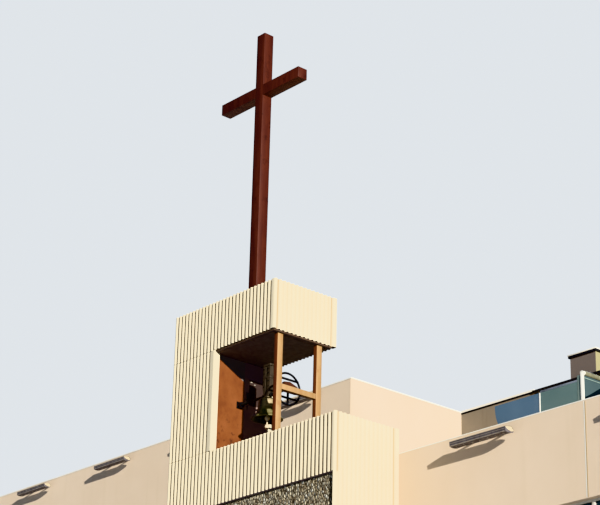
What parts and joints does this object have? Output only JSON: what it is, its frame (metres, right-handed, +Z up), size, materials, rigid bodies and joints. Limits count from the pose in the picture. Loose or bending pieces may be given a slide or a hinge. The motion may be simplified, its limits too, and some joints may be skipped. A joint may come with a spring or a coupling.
{
  "type": "modern church building",
  "caption": "Modern church building: ribbed bell tower with an open belfry, turning bell and roof cross, a tall nave with wall lamps, and a lower wing with a terrace.",
  "frame": {"origin": "on the ground, under the middle of the building's bounding box", "axes": "+Z up; +X to the right along the street front; +Y runs back from the street into the building"},
  "size_m": [29.306, 15.2, 20.02],
  "materials": {
    "ribbed_render": "matt ribbed precast facing, painted cream",
    "tan_render": "smooth matt tan render",
    "pebble_facing": "rough exposed pebble facing",
    "concrete": "matt concrete",
    "rusty_steel": "rusted sheet with dark spots",
    "orange_steel": "weathered orange-brown paint",
    "cross_steel": "dark red-brown weathered steel",
    "dark_sheet": "dark brown painted sheet",
    "bell_bronze": "dull dark bronze",
    "axle_steel": "dull steel",
    "black_iron": "black paint",
    "headstock_wood": "weathered dark wood with iron straps",
    "door_wood": "stained vertical boards",
    "window_glass": "tinted glass",
    "lamp_metal": "dark grey painted housing",
    "white_metal": "white painted tube"
  },
  "bodies": {
    "building": {"tower_front_wall": "ribbed_render", "tower_back_wall": "ribbed_render", "tower_left_wall": "ribbed_render", "tower_right_wall": "ribbed_render", "pebble_panel": "pebble_facing", "belfry_floor": "concrete", "rusty_inner_panel": "rusty_steel", "cap_fascia": "ribbed_render", "cap_soffit": "dark_sheet", "cap_roof": "concrete", "belfry_front_post": "orange_steel", "belfry_rear_post": "orange_steel", "belfry_rail": "orange_steel", "roof_cross": "cross_steel", "left_bearing": "black_iron", "right_bearing": "orange_steel", "nave_front_wall": "tan_render", "nave_back_wall": "tan_render", "nave_left_wall": "tan_render", "nave_right_wall": "tan_render", "nave_roof": "concrete", "nave_floor": "concrete", "nave_window_glass": "window_glass", "entrance_door_left": "door_wood", "entrance_door_right": "door_wood", "wing_front_wall": "tan_render", "upper_window_glass": "window_glass", "middle_window_glass": "window_glass", "ground_window_glass": "window_glass", "wing_left_wall": "tan_render", "wing_right_and_back_wall": "tan_render", "terrace_slab": "concrete", "upper_floor": "concrete", "middle_floor": "concrete", "ground_floor": "concrete", "stair_block_walls": "tan_render", "stair_block_roof": "dark_sheet", "chimney": "tan_render", "chimney_cap": "concrete", "balustrade_glass": "window_glass", "balustrade_side_glass": "window_glass", "balustrade_post": "white_metal", "balustrade_handrail": "white_metal", "nave_lamp_1": "lamp_metal", "nave_lamp_2": "lamp_metal", "nave_lamp_3": "lamp_metal", "nave_lamp_4": "lamp_metal", "wing_lamp_1": "lamp_metal", "wing_lamp_2": "lamp_metal"},
    "turning_bell": {"bell": "bell_bronze", "bell_headstock": "headstock_wood", "bell_axle": "axle_steel", "bell_wheel": "black_iron"},
    "clapper": {"bell_clapper": "axle_steel"}
  },
  "joints": [
    {"name": "bell_swing", "type": "hinge", "parent": "building", "child": "turning_bell", "pos_m": [3.907, -6.91, 12.54], "axis": [1, 0, 0], "continuous": true},
    {"name": "clapper_swing", "type": "hinge", "parent": "turning_bell", "child": "clapper", "pos_m": [3.907, -6.91, 12.4], "axis": [1, 0, 0], "range_deg": [-32, 32]}
  ]
}
